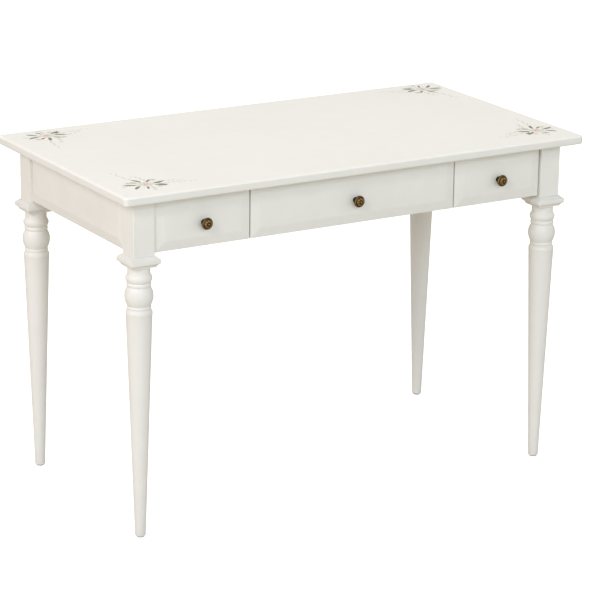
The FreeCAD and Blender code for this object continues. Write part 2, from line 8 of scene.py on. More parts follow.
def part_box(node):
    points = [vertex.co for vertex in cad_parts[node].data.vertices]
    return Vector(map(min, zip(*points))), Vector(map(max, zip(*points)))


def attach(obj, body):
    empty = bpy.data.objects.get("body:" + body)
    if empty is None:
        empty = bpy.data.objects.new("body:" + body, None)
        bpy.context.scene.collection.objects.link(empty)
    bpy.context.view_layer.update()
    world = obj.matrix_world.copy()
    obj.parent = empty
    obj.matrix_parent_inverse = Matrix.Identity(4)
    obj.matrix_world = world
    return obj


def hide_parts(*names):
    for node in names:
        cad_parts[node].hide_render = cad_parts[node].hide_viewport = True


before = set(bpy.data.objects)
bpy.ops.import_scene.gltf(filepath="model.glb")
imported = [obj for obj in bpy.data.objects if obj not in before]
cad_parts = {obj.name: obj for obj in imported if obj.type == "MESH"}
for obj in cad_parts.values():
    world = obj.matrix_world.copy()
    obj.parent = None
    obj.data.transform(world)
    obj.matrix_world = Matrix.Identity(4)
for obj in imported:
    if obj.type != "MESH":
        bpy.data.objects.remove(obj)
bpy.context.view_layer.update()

MM = 0.001

# Camera: a long lens a little above the top, in front of the table's left-hand end. It is turned
# from straight in front, and stands off from a point near the middle of the table, in metres.
CAMERA_YAW = math.radians(30.87)
CAMERA_PITCH = math.radians(17.18)
CAMERA_ROLL = math.radians(0.68)
CAMERA_DISTANCE = 6.223
CAMERA_LENS = 164.5
CAMERA_SENSOR = 36
CAMERA_TARGET = Vector((0.0261, 0.0, 0.3820))

camera_data = bpy.data.cameras.new("camera")
camera_data.sensor_width = CAMERA_SENSOR
camera_data.lens = CAMERA_LENS
camera = bpy.data.objects.new("camera", camera_data)
bpy.context.scene.collection.objects.link(camera)
bpy.context.scene.camera = camera
backwards = Vector((
    -math.sin(CAMERA_YAW) * math.cos(CAMERA_PITCH),
    -math.cos(CAMERA_YAW) * math.cos(CAMERA_PITCH),
    math.sin(CAMERA_PITCH),
))
rightwards = Vector((math.cos(CAMERA_YAW), -math.sin(CAMERA_YAW), 0))
upwards = backwards.cross(rightwards)
rolled_right = rightwards * math.cos(CAMERA_ROLL) + upwards * math.sin(CAMERA_ROLL)
rolled_up = upwards * math.cos(CAMERA_ROLL) - rightwards * math.sin(CAMERA_ROLL)
camera_turn = Matrix((rolled_right, rolled_up, backwards)).transposed()
camera_place = CAMERA_TARGET + backwards * CAMERA_DISTANCE
camera.matrix_world = Matrix.Translation(camera_place) @ camera_turn.to_4x4()


# Studio: a sheet of pale paper under the table, in a room with bright walls and a dim roof. A small
# lamp and two broad ones, cool and warm, stand to the front left, and the ceiling adds a narrow
# light from above. Seen straight from the camera, the paper and the walls are pure white.
class Socket:
    """An output of the nodes of a finish. Arithmetic on it adds Math nodes."""

    def __init__(self, finish, link):
        self.finish = finish
        self.link = link

    def reckon(self, operation, first, second):
        """A Math node of one operation on two sockets or numbers."""
        return self.finish.node("ShaderNodeMath", {"operation": operation}, {0: first, 1: second})

    def __add__(self, other):
        return self.reckon("ADD", self, other)

    def __radd__(self, other):
        return self.reckon("ADD", other, self)

    def __sub__(self, other):
        return self.reckon("SUBTRACT", self, other)

    def __rsub__(self, other):
        return self.reckon("SUBTRACT", other, self)

    def __mul__(self, other):
        return self.reckon("MULTIPLY", self, other)

    def __rmul__(self, other):
        return self.reckon("MULTIPLY", other, self)


class Finish:
    """A material: constants are set on its shader, and what varies comes from nodes."""

    def __init__(self, name, **constants):
        self.take(bpy.data.materials.new(name), "Principled BSDF")
        for socket, value in constants.items():
            self.shader.inputs[socket.replace("_", " ")].default_value = value

    def take(self, owner, shader):
        """Work on the nodes of a material or a world, which end in a shader."""
        owner.use_nodes = True
        self.owner = owner
        self.tree = owner.node_tree
        self.shader = self.tree.nodes[shader]

    def node(self, kind, settings=None, sockets=None, output=0):
        """Add any node: its type, its settings, then the values or links of its sockets."""
        node = self.tree.nodes.new(kind)
        for word, value in (settings or {}).items():
            setattr(node, word, value)
        for socket, value in (sockets or {}).items():
            self.join(value, node.inputs[socket])
        return Socket(self, node.outputs[output])

    def join(self, value, socket):
        """Feed a socket with a link or a value."""
        if isinstance(value, Socket):
            self.tree.links.new(value.link, socket)
        else:
            socket.default_value = value

    def places(self, scale=(1, 1, 1)):
        """Object coordinates in metres, stretched by a scale on each axis."""
        coordinates = self.node("ShaderNodeTexCoord", output="Object")
        return self.node("ShaderNodeMapping", {}, {"Vector": coordinates, "Scale": scale})

    def noise(self, places, scale, detail=3.0, distortion=0.0):
        """Cloudy values from 0 to 1, one cloud about 1 / scale metres across."""
        sockets = {"Vector": places, "Scale": scale, "Detail": detail, "Distortion": distortion}
        return self.node("ShaderNodeTexNoise", {}, sockets)

    def spread(self, value, low, high):
        """Stretch the values between low and high over 0 to 1, with soft ends."""
        sockets = {"Value": value, "From Min": low, "From Max": high}
        return self.node("ShaderNodeMapRange", {"interpolation_type": "SMOOTHSTEP"}, sockets)

    def mixed(self, amount, first, second):
        """First colour where amount is 0, second where it is 1."""
        sockets = {0: amount, 6: first, 7: second}
        return self.node("ShaderNodeMix", {"data_type": "RGBA"}, sockets, output=2)

    def bump(self, height, distance, strength):
        """Relief of a height from 0 to 1, a distance deep in metres."""
        sockets = {"Height": height, "Distance": distance, "Strength": strength}
        self.join(self.node("ShaderNodeBump", {}, sockets), self.shader.inputs["Normal"])

    def feed(self, **varying):
        """Feed the shader's sockets, and give the material or world, now complete."""
        for socket, value in varying.items():
            self.join(value, self.shader.inputs[socket.replace("_", " ")])
        return self.owner


class Room(Finish):
    """The light of the walls and the roof all round, made with the same nodes as a material."""

    def __init__(self, name):
        self.take(bpy.data.worlds.new(name), "Background")


WHITE = (1, 1, 1, 1)
BLACK = (0, 0, 0, 1)
PAPER_DARK = (0.49, 0.465, 0.41, 1)
PAPER_PALE = (0.51, 0.485, 0.43, 1)
PAPER_GLOW = 0.9
FLOOR_REACH = 40
floor_mesh = bpy.data.meshes.new("floor")
floor_corners = [(x * FLOOR_REACH, y * FLOOR_REACH, 0) for x, y in ((-1, -1), (1, -1), (1, 1), (-1, 1))]
floor_mesh.from_pydata(floor_corners, [], [(0, 1, 2, 3)])
floor = bpy.data.objects.new("floor", floor_mesh)
bpy.context.scene.collection.objects.link(floor)
paper = Finish("white_paper", Roughness=0.9, Emission_Strength=PAPER_GLOW)
paper.owner.cycles.emission_sampling = "NONE"
floor_mesh.materials.append(paper.feed(
    Base_Color=paper.mixed(paper.noise(paper.places(), scale=2.0), PAPER_DARK, PAPER_PALE),
    Emission_Color=paper.mixed(paper.node("ShaderNodeLightPath", output="Is Camera Ray"), BLACK, WHITE),
))

WALL_LIGHT = (0.92, 0.925, 0.93, 1)
ROOF_LIGHT = (0.10, 0.09, 0.07, 1)
WALL_ENDS = 0.40
ROOF_STARTS = 0.85
room = Room("studio")
outwards = room.node("ShaderNodeTexCoord", output="Generated")
steepness = room.node("ShaderNodeSeparateXYZ", {}, {"Vector": outwards}, output="Z")
walls = room.mixed(room.spread(steepness, WALL_ENDS, ROOF_STARTS), WALL_LIGHT, ROOF_LIGHT)
seen_directly = room.node("ShaderNodeLightPath", output="Is Camera Ray")
bpy.context.scene.world = room.feed(Color=room.mixed(seen_directly, walls, WHITE))


def lamp(name, kind, energy, colour):
    """A lamp of one kind, with its power and colour."""
    data = bpy.data.lights.new(name, kind)
    data.energy = energy
    data.color = colour
    light = bpy.data.objects.new(name, data)
    bpy.context.scene.collection.objects.link(light)
    return light


LAMP_AIM = Vector((0, 0, 0.6))


def soft_box(name, energy, size, place, colour):
    """A square lamp that faces the table: its power in watts, its side and its place in metres."""
    light = lamp(name, "AREA", energy, colour)
    light.data.shape = "SQUARE"
    light.data.size = size
    turn = (LAMP_AIM - Vector(place)).to_track_quat("-Z", "Y")
    light.matrix_world = Matrix.Translation(place) @ turn.to_matrix().to_4x4()


soft_box("key_light", 95, 1.0, (-6.0, -4.4, 5.0), (1, 1, 1))
soft_box("front_light", 138, 2.2, (-1.8, -7.4, 4.3), (0.72, 0.87, 1.0))
soft_box("side_light", 125, 2.2, (-7.5, -0.6, 4.2), (1.0, 0.87, 0.90))
CEILING_SPREAD = math.radians(10)
ceiling = lamp("ceiling", "SUN", 1.18, (1, 0.97, 0.89))
ceiling.data.angle = CEILING_SPREAD
bpy.context.scene.view_settings.view_transform = "Standard"


# Tabletop: one painted slab, 20 mm thick, with its corners and all its edges rounded by hand.
# It is sprayed with off-white satin lacquer, rubbed down between coats.
WARM_WHITE = (0.868, 0.850, 0.800, 1)
CLEAR_WHITE = (0.892, 0.876, 0.830, 1)
BRUSH_PULL = (6, 60, 6)


def lacquer():
    """Off-white satin paint: cloudy warmth, fine orange peel and faint long brush marks."""
    paint = Finish("white_lacquer", Specular_IOR_Level=0.5, IOR=1.5, Coat_Roughness=0.22)
    places = paint.places()
    cloud = paint.noise(places, scale=3.0, detail=2.0)
    mottle = paint.noise(places, scale=22.0)
    peel = paint.noise(places, scale=420.0, detail=2.0)
    drag = paint.noise(paint.places(BRUSH_PULL), scale=9.0)
    warmth = paint.spread(cloud * 0.6 + mottle * 0.4, 0.35, 0.65)
    paint.bump(peel * 0.75 + drag * 0.25, 0.06 * MM, 0.55)
    return paint.feed(
        Base_Color=paint.mixed(warmth, WARM_WHITE, CLEAR_WHITE),
        Roughness=0.36 + 0.14 * mottle,
        Coat_Weight=0.16 + 0.10 * cloud,
    )


WHITE_LACQUER = lacquer()
SMOOTH_ANGLE = math.radians(32)


def finished(name, points, faces, material, body, slot=None, nodes=()):
    """A closed mesh as a piece: shaded smooth but for its sharp edges, painted, and tied to its body."""
    mesh = bpy.data.meshes.new(name)
    mesh.from_pydata(points, [], faces)
    mesh.shade_smooth()
    mesh.set_sharp_from_angle(angle=SMOOTH_ANGLE)
    mesh.materials.append(material)
    piece = bpy.data.objects.new(name, mesh)
    bpy.context.scene.collection.objects.link(piece)
    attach(piece, body)
    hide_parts(*nodes)
    return piece


def skin(rings):
    """The points and faces of a closed surface through a stack of loops.

    rings[i, j] is point j of loop i. Each loop runs anticlockwise seen from the last loop's end,
    four-sided faces join each loop to the next, and a flat face closes the first and the last.
    """
    levels, around = rings.shape[:2]
    here = np.arange(around)
    after = (here + 1) % around
    base = np.arange(levels - 1)[:, None] * around
    sides = np.stack([base + here, base + after, base + around + after, base + around + here], axis=-1)
    faces = sides.reshape(-1, 4).tolist()
    faces.append(here[::-1].tolist())
    faces.append((here + (levels - 1) * around).tolist())
    return rings.reshape(-1, 3).tolist(), faces


def lacquered(name, rings, node, body="root"):
    """A surface in white lacquer, in place of one CAD node."""
    finished(name, *skin(rings), WHITE_LACQUER, body, "white_lacquer", [node])


FLAT_HOLD = 0.4 * MM
CORNER_KEPT = 0.25


def square_loop(half_x, half_y, corner, bends=6, hold=FLAT_HOLD):
    """A rectangle with round corners, anticlockwise from its +X side, just before the +X +Y corner.

    Each corner is an arc of equal steps about a centre one radius in from both sides, with one
    more point on the flat on either side of it, hold away, so that the flats stay flat.
    half_x, half_y and corner may be arrays, one value for each loop of a stack.
    """
    half_x, half_y, corner = [np.asarray(value, float).reshape(-1, 1) for value in (half_x, half_y, corner)]
    corners = []
    turn = np.linspace(0, math.pi / 2, bends)
    for number, (side_x, side_y) in enumerate(((1, 1), (-1, 1), (-1, -1), (1, -1))):
        angle = turn + number * math.pi / 2
        x = side_x * (half_x - corner) + corner * np.cos(angle)
        y = side_y * (half_y - corner) + corner * np.sin(angle)
        step_in = np.array([math.sin(angle[0]), -math.cos(angle[0])]) * hold
        step_out = np.array([-math.sin(angle[-1]), math.cos(angle[-1])]) * hold
        x = np.concatenate([x[:, :1] + step_in[0], x, x[:, -1:] + step_out[0]], axis=1)
        y = np.concatenate([y[:, :1] + step_in[1], y, y[:, -1:] + step_out[1]], axis=1)
        corners.append(np.stack([x, y], axis=-1))
    return np.concatenate(corners, axis=1)


def eased_edge(height, arris, steps=4):
    """Inset and level of each loop of a slab with both rims rounded to a radius.

    A quarter circle rises from the lower face to the side, and its mirror image closes the top.
    One more loop on each flat, a small hold away, keeps the flats flat.
    """
    turn = np.linspace(0, math.pi / 2, steps + 1)
    inset = arris * (1 - np.sin(turn))
    level = arris * (1 - np.cos(turn))
    inset = np.concatenate([[arris + FLAT_HOLD], inset, [0]])
    level = np.concatenate([[0], level, [arris + FLAT_HOLD]])
    return np.concatenate([inset, inset[::-1]]), np.concatenate([level, height - level[::-1]])


AXES = {"x": (1, 2, 0), "y": (2, 0, 1), "z": (0, 1, 2)}


def eased_board(low, high, arris, corner, through="z"):
    """A board between two corners of its box, with rims and edges rounded.

    Round-cornered rectangles are stacked along the axis 'through', drawn in at both ends by
    eased_edge. On the two flats their corners shrink with them, but never to nothing.
    """
    first, second, third = AXES[through]
    half_a = (high[first] - low[first]) / 2
    half_b = (high[second] - low[second]) / 2
    inset, level = eased_edge(high[third] - low[third], arris)
    flat = square_loop(half_a - inset, half_b - inset, np.maximum(corner - inset, corner * CORNER_KEPT))
    rings = np.empty((len(inset), flat.shape[1], 3))
    rings[..., first] = flat[..., 0] + low[first] + half_a
    rings[..., second] = flat[..., 1] + low[second] + half_b
    rings[..., third] = (low[third] + level)[:, None]
    return rings


TOP_ARRIS = 4.5 * MM
TOP_CORNER = 9 * MM
SPRAY_RELIEF = 0.25 * MM
top_low, top_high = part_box("tabletop")
top_face = top_high.z - SPRAY_RELIEF
slab = eased_board(top_low, (*top_high.xy, top_face), TOP_ARRIS, TOP_CORNER)
lacquered("painted_tabletop", slab, "tabletop")

# Posts: four square lacquered blocks at the corners of the frame, with their edges taken off.
# The aprons and rails are doweled into them, and a leg screws into the foot of each.
POST_RIM = 0.6 * MM
POST_ARRIS = 1.5 * MM
CORNERS = [f"{depth}_{side}" for depth in ("front", "back") for side in ("left", "right")]
for corner in CORNERS:
    block = eased_board(*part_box(f"{corner}_post"), POST_RIM, POST_ARRIS)
    lacquered(f"{corner}_square_post", block, f"{corner}_post")

# Legs: each is turned from one square blank. The top is left square and moulded as a collar, and
# below it the blank is turned to two thin rings, two beads and a long taper.
GLIDE_HEIGHT = 2.5
LEG_STATIONS = [
    # radius, level, and the radius of the outward bulge up to the next station, or 0 for a
    # straight run, all in millimetres
    (9.4, GLIDE_HEIGHT, 0),
    (10.7, 3.6, 4),
    (11.4, 6, 0),
    (28.2, 499, 12),
    (24.2, 511.5, 4.1),
    (24.2, 518.5, 36.4),
    (24.2, 560, 5.9),
    (24.2, 569, 11.9),
    (24.2, 587, 0),
    (24.2, 587.7, 0),
    (24.2, 604, 0),
]
COLLAR_STATIONS = [
    # half the side of the square and its level, in millimetres
    (28.0, 604.0), (28.3, 605.6), (29.3, 607.6), (31.0, 609.6), (33.4, 611.4), (34.3, 611.9),
    (34.7, 612.6), (35.0, 613.6), (35.0, 614.4), (35.0, 619.8), (34.9, 620.6), (34.5, 621.3),
    (33.9, 621.7), (27.2, 627.6), (26.6, 628.0), (26.2, 628.0),
]
LEG_AROUND = 96
COLLAR_CORNER = 1.6
GROOVES = (511.5, 518.5, 560, 569, 587)
GROOVE_REACH = 1.0
GROOVE_FILL = 0.3


def bulging(stations, steps=10):
    """Radii and levels along a profile: a straight run, or an arc of a radius bulging outwards.

    The arc's centre lies on the inner side of the chord's middle, at the distance that makes
    both ends one radius away.
    """
    radii = []
    levels = []
    for (radius, level, arc), (next_radius, next_level, _) in zip(stations, stations[1:]):
        start = np.array([radius, level])
        end = np.array([next_radius, next_level])
        share = np.linspace(0, 1, steps, endpoint=False)[:, None]
        if arc:
            chord = end - start
            length = np.hypot(*chord)
            inward = np.array([-chord[1], chord[0]]) / length
            centre = (start + end) / 2 + inward * math.sqrt(arc ** 2 - length ** 2 / 4)
            first = np.arctan2(*(start - centre)[::-1])
            last = np.arctan2(*(end - centre)[::-1])
            angle = first + (last - first) * share
            points = centre + arc * np.concatenate([np.cos(angle), np.sin(angle)], axis=1)
        else:
            points = start + (end - start) * share
        radii.append(points[:, 0])
        levels.append(points[:, 1])
    radii.append([stations[-1][0]])
    levels.append([stations[-1][1]])
    return np.concatenate(radii), np.concatenate(levels)


def softened(radii, levels):
    """Fill the sharp bottom of each groove a little.

    Within reach of a groove the radius stays above a parabola that stands on the smallest radius
    there, GROOVE_FILL high at the groove and nothing at the end of its reach.
    """
    for groove in GROOVES:
        near = np.abs(levels - groove) < GROOVE_REACH
        fill = GROOVE_FILL * (1 - (np.abs(levels[near] - groove) / GROOVE_REACH) ** 2)
        radii[near] = np.maximum(radii[near], radii[near].min() + fill)
    return radii


def round_to_square(half, corner, around):
    """Loops of one number of points: from a circle, when corner equals half, to a sharp square.

    Each quarter's points lie on an arc of the corner's radius at evenly spaced angles.
    """
    half, corner = [np.asarray(value, float).reshape(-1, 1) for value in (half, corner)]
    angle = (np.arange(around) + 0.5) * 2 * math.pi / around
    x = np.sign(np.cos(angle)) * (half - corner) + corner * np.cos(angle)
    y = np.sign(np.sin(angle)) * (half - corner) + corner * np.sin(angle)
    return np.stack([x, y], axis=-1)


def leg_rings():
    """The whole leg about its own axis, from the foot up to the post."""
    radii, levels = bulging(LEG_STATIONS)
    radii = softened(radii, levels)
    collar = np.array(COLLAR_STATIONS)
    turned_loops = round_to_square(radii, radii, LEG_AROUND)
    collar_loops = round_to_square(collar[:, 0], np.full(len(collar), COLLAR_CORNER), LEG_AROUND)
    loops = np.concatenate([turned_loops, collar_loops])
    rise = np.concatenate([levels, collar[:, 1]])
    heights = np.broadcast_to(rise[:, None, None], (*loops.shape[:2], 1))
    return np.concatenate([loops, heights], axis=-1) * MM


for corner in CORNERS:
    leg_low, leg_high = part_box(f"{corner}_leg")
    axis = np.array([(leg_low.x + leg_high.x) / 2, (leg_low.y + leg_high.y) / 2, 0])
    lacquered(f"{corner}_turned_leg", leg_rings() + axis, f"{corner}_leg")


# Aprons: the boards between the posts at both ends and at the back. Each has a flat raised field
# with a shallow bevel all round, cut on a spindle moulder, and is lacquered like the rest.
BEVEL_WIDTH = 22 * MM
BEVEL_DEPTH = 5 * MM
PANEL_ARRIS = 0.8 * MM
PANEL_CORNER = 0.5 * MM
PANEL_HOLD = 0.5 * MM
CORNER_HOLD = 0.3 * MM
FIELD_EASE = 0.02 * MM


def raised_panel(low, high, facing):
    """A panel that faces +X, -X, +Y or -Y: a rim, a straight bevel and a flat field, edges eased.

    Loops go from the back, round the edge as quarter circles, up the bevel as a straight slope and
    onto the field. Inset is measured from the edge, and level from the back towards the face.
    """
    axis = "xy".index(facing[1])
    sign = 1 if facing[0] == "+" else -1
    thickness = high[axis] - low[axis]
    arris = PANEL_ARRIS
    hold = PANEL_HOLD
    rim = thickness - BEVEL_DEPTH
    slope = BEVEL_DEPTH / BEVEL_WIDTH
    turn = np.linspace(0, math.pi / 2, 4)
    inset = np.concatenate([
        [arris + hold], arris * (1 - np.sin(turn)), [0, 0], arris * (1 - np.cos(turn)),
        [arris + hold, BEVEL_WIDTH - hold, BEVEL_WIDTH, BEVEL_WIDTH + hold, BEVEL_WIDTH + 3 * hold]])
    level = np.concatenate([
        [0], arris * (1 - np.cos(turn)), [arris + hold, rim - arris - hold],
        rim - arris * (1 - np.sin(turn)) + arris * slope * (1 - np.cos(turn)),
        [rim + slope * (arris + hold), thickness - slope * hold, thickness - FIELD_EASE],
        [thickness, thickness]])
    across = 1 - axis
    half = (high[across] - low[across]) / 2
    tall = (high[2] - low[2]) / 2
    corners = np.full(len(inset), PANEL_CORNER)
    flat = square_loop(half - inset, tall - inset, corners, bends=4, hold=CORNER_HOLD)
    rings = np.empty((len(inset), flat.shape[1], 3))
    start = low[axis] if sign > 0 else high[axis]
    rings[..., axis] = (start + sign * level)[:, None]
    rings[..., 2] = flat[..., 1] + low[2] + tall
    handed = sign if axis == 0 else -sign
    rings[..., across] = handed * flat[..., 0] + low[across] + half
    return rings


for name, node, facing in (
    ("left_end_apron", "left_side_apron", "-x"),
    ("right_end_apron", "right_side_apron", "+x"),
    ("rear_apron", "back_apron", "+y"),
):
    lacquered(name, raised_panel(*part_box(node), facing), node)

# Front rails: two flat boards between the front posts, one under the drawers and one over them.
# They are lacquered with the frame, and the drawer fronts cover their edges.
RAIL_ARRIS = 1 * MM
for word in ("bottom", "top"):
    rail = f"front_{word}_rail"
    lacquered(f"flat_{word}_rail", eased_board(*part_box(rail), RAIL_ARRIS, RAIL_ARRIS), rail)

# Drawer fronts: three raised panels like the aprons, screwed to the front of each drawer box
# from the inside. They hide the box, the rails and the dividers.
DRAWERS = ("left", "centre", "right")
for word in DRAWERS:
    front = f"{word}_drawer_front"
    lacquered(f"{word}_panelled_front", raised_panel(*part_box(front), "-y"), front, f"{word}_drawer")

# Knobs: small brass castings with a flower in relief and a beaded rim, dark with age in the
# hollows and rubbed bright on the high spots. One screw from inside the drawer holds each.
KNOB_AROUND = 160
KNOB_PROFILE = [
    # radius and distance from the drawer front, in millimetres
    (2.2, 0.0), (6.0, 0.0), (6.5, 0.5), (6.5, 1.5), (6.1, 2.0), (5.2, 2.4), (4.8, 3.4), (4.6, 5.5),
    (4.8, 8.0), (5.4, 9.4), (7.2, 10.8), (9.6, 12.4), (11.6, 13.8), (12.6, 14.8), (12.95, 15.8),
]
KNOB_HEAD = 13.0
RIM_LEVEL = 17.0
KNOB_HEIGHT = 25.0
DOME_STEPS = 48
DOME_CROWDING = 0.9
DOME_TIP = 0.02
DOME_SPAN = 0.93
DOME_EDGE = math.sqrt(1 - DOME_SPAN ** 2)
PETALS = 8
BEADS = 28
RELIEF = 0.9
NECK_PROUD = 0.35
DARK_BRASS = (0.026, 0.015, 0.003, 1)
RUBBED_BRASS = (0.44, 0.26, 0.09, 1)


def aged_brass():
    """Old brass: bright on what stands proud, brown-black in the hollows, with fine pitting."""
    metal = Finish("aged_brass", Specular_IOR_Level=0.5)
    proud = metal.node("ShaderNodeAttribute", {"attribute_name": "proud"}, output="Fac")
    places = metal.places()
    pits = metal.noise(places, scale=900.0)
    stain = metal.noise(places, scale=160.0, detail=4.0)
    rubbed = metal.spread(proud + (stain - 0.5) * 0.5, 0.42, 0.92)
    metal.bump(pits, 0.12 * MM, 0.6)
    return metal.feed(
        Base_Color=metal.mixed(rubbed, DARK_BRASS, RUBBED_BRASS),
        Metallic=0.55 + 0.45 * rubbed,
        Roughness=0.50 - 0.24 * rubbed + 0.10 * pits,
    )


def hump(share, middle, reach, power=1.0):
    """1 at a share of the radius, down to 0 a reach away as a parabola, raised to a power."""
    return np.clip(1 - ((share - middle) / reach) ** 2, 0, 1) ** power


def knob_rings():
    """Loops about +Z of the whole knob, and how proud of its surroundings each point stands.

    The crown is part of a sphere. It sinks by the relief's depth, and rises again where the flower
    is: petals are humps of the radius times |cos| of half their number times the angle, with a
    groove down each middle and a dot between two, the middle is a button, and the beads along the
    rim are finer petals.
    """
    neck = np.array(KNOB_PROFILE)
    spin = (np.arange(KNOB_AROUND) + 0.5) * 2 * math.pi / KNOB_AROUND
    radius = (KNOB_HEAD * np.linspace(1, 0, DOME_STEPS) ** DOME_CROWDING + DOME_TIP)[:, None]
    span = radius / KNOB_HEAD
    lobe = np.abs(np.cos(spin * PETALS / 2))
    petal = hump(span, 0.53, 0.27, 0.7) * lobe ** 0.6
    vein = 0.5 * hump(span, 0.50, 0.20) * (lobe > 0.985)
    between = hump(span, 0.68, 0.10) * np.clip(1 - lobe / 0.35, 0, 1)
    bead = hump(span, 0.91, 0.085, 0.5) * np.abs(np.cos(spin * BEADS / 2)) ** 0.5
    button = hump(span, 0, 0.20, 0.5)
    relief = np.clip(petal - vein + between + bead + button, 0, 1)
    crown = (np.sqrt(1 - (span * DOME_SPAN) ** 2) - DOME_EDGE) / (1 - DOME_EDGE)
    level = RIM_LEVEL + (KNOB_HEIGHT - RIM_LEVEL) * np.clip(crown, 0, 1) - RELIEF * (1 - relief)
    head = np.stack([radius * np.cos(spin), radius * np.sin(spin), level], axis=-1)
    back = np.stack([neck[:, :1] * np.cos(spin), neck[:, :1] * np.sin(spin),
                     np.broadcast_to(neck[:, 1:], (len(neck), KNOB_AROUND))], axis=-1)
    proud = np.concatenate([np.full((len(neck), KNOB_AROUND), NECK_PROUD), relief])
    return np.concatenate([back, head]) * MM, proud


AGED_BRASS = aged_brass()
for word in DRAWERS:
    knob_low, knob_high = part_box(f"{word}_drawer_knob")
    rings, proud = knob_rings()
    placed = np.stack([rings[..., 0] + (knob_low.x + knob_high.x) / 2,
                       knob_high.y - rings[..., 2],
                       rings[..., 1] + (knob_low.z + knob_high.z) / 2], axis=-1)
    knob = finished(f"{word}_brass_knob", *skin(placed),
                    AGED_BRASS, f"{word}_drawer", "aged_brass", [f"{word}_drawer_knob"])
    knob.data.attributes.new("proud", "FLOAT", "POINT").data.foreach_set("value", proud.ravel())


# Drawer boxes, dividers and guide boards: plain birch, sanded and left clear. The grain runs
# along each board, so a board across the drawer and one along it need their own material.
GRAIN_DRAW = 0.06


def timber(name, along, pale, dark, fleck, roughness):
    """Clear-finished wood: growth bands and fine pores drawn out along one axis."""
    wood = Finish(name, Specular_IOR_Level=0.4)
    places = wood.places(tuple(GRAIN_DRAW if axis == along else 1.0 for axis in "xyz"))
    band = wood.noise(places, scale=60.0, detail=4.0, distortion=0.6)
    pore = wood.noise(places, scale=900.0, detail=2.0)
    cloud = wood.noise(wood.places(), scale=7.0, detail=2.0)
    tone = wood.mixed(wood.spread(band * 0.75 + cloud * 0.25, 0.34, 0.66), pale, dark)
    pores = wood.spread(pore, 0.60, 0.78)
    wood.bump(band * 0.4 + (1 - pores) * 0.6, 0.12 * MM, 0.5)
    return wood.feed(
        Base_Color=wood.mixed(pores * 0.45, tone, fleck),
        Roughness=roughness + 0.12 * pore,
    )


PALE_BIRCH = (0.72, 0.57, 0.39, 1)
DARK_BIRCH = (0.62, 0.46, 0.29, 1)
BIRCH_PORE = (0.42, 0.27, 0.14, 1)
birch_along = {}
for axis in "xy":
    birch_along[axis] = timber(f"birch_along_{axis}", axis, PALE_BIRCH, DARK_BIRCH, BIRCH_PORE, 0.46)
BOARD_ARRIS = 0.8 * MM


def birch_board(name, node, along, body):
    """An eased board of birch with its grain along an axis, in place of one CAD node."""
    board = eased_board(*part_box(node), BOARD_ARRIS, BOARD_ARRIS, along)
    finished(name, *skin(board), birch_along[along], body, "birch", [node])


def finish_of(node, material):
    """Give a CAD piece that is shown as it is its material."""
    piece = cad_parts[node]
    piece.data.materials.clear()
    piece.data.materials.append(material)


for side in ("left", "right"):
    finish_of(f"{side}_divider", birch_along["y"])
    birch_board(f"{side}_guide", f"{side}_guide_board", "y", "root")
for word in DRAWERS:
    finish_of(f"{word}_drawer_box_front", birch_along["x"])
    birch_board(f"{word}_box_back", f"{word}_drawer_back", "x", f"{word}_drawer")
    for side in ("left", "right"):
        finish_of(f"{word}_drawer_{side}_side", birch_along["y"])

# Drawer bottoms: thin birch plywood with a broad rotary figure. Each is let into grooves round
# the inside of its box, and its grain runs across the drawer.
PALE_PLY = (0.74, 0.57, 0.37, 1)
DARK_PLY = (0.64, 0.46, 0.27, 1)
PLY_PORE = (0.46, 0.31, 0.17, 1)
PLYWOOD = timber("plywood", "x", PALE_PLY, DARK_PLY, PLY_PORE, 0.50)
for word in DRAWERS:
    finish_of(f"{word}_drawer_bottom", PLYWOOD)

# Runners and dowels: hard beech, waxed where it slides. The runners are screwed to the dividers
# and guide boards, and the dowels are hidden inside the joints of the frame.
PALE_BEECH = (0.62, 0.40, 0.25, 1)
DARK_BEECH = (0.52, 0.32, 0.19, 1)
BEECH_PORE = (0.32, 0.17, 0.09, 1)
BEECH = timber("beech", "y", PALE_BEECH, DARK_BEECH, BEECH_PORE, 0.40)
finish_of("frame_dowels", BEECH)
for node in (
    "centre_drawer_left_runner", "centre_drawer_right_runner",
    "left_drawer_inner_runner", "left_drawer_outer_runner",
    "right_drawer_inner_runner", "right_drawer_outer_runner",
):
    finish_of(node, BEECH)


# Fastenings: zinc-plated steel. Hanger bolts and insert nuts hold the legs, angle brackets and
# screws hold the top, and the runners, knobs and drawer fronts have their own screws.
DULL_ZINC = (0.52, 0.51, 0.47, 1)
CLEAR_ZINC = (0.66, 0.66, 0.64, 1)


def zinc():
    """Plated steel with a faint spangle and a dull, slightly yellow passivated film."""
    steel = Finish("zinc_steel")
    places = steel.places()
    spangle = steel.node("ShaderNodeTexVoronoi", {"feature": "F1"}, {"Vector": places, "Scale": 260.0})
    film = steel.noise(places, scale=90.0)
    steel.bump(spangle, 0.03 * MM, 0.5)
    return steel.feed(
        Base_Color=steel.mixed(film, DULL_ZINC, CLEAR_ZINC),
        Metallic=0.92 + 0.06 * film,
        Roughness=0.30 + 0.18 * spangle,
    )


ZINC_STEEL = zinc()
for node in (
    "leg_bolts", "leg_insert_nuts", "tabletop_screws",
    "top_brackets", "bracket_screws", "runner_screws",
):
    finish_of(node, ZINC_STEEL)
for word in DRAWERS:
    finish_of(f"{word}_drawer_knob_screw", ZINC_STEEL)
    finish_of(f"{word}_drawer_front_screws", ZINC_STEEL)

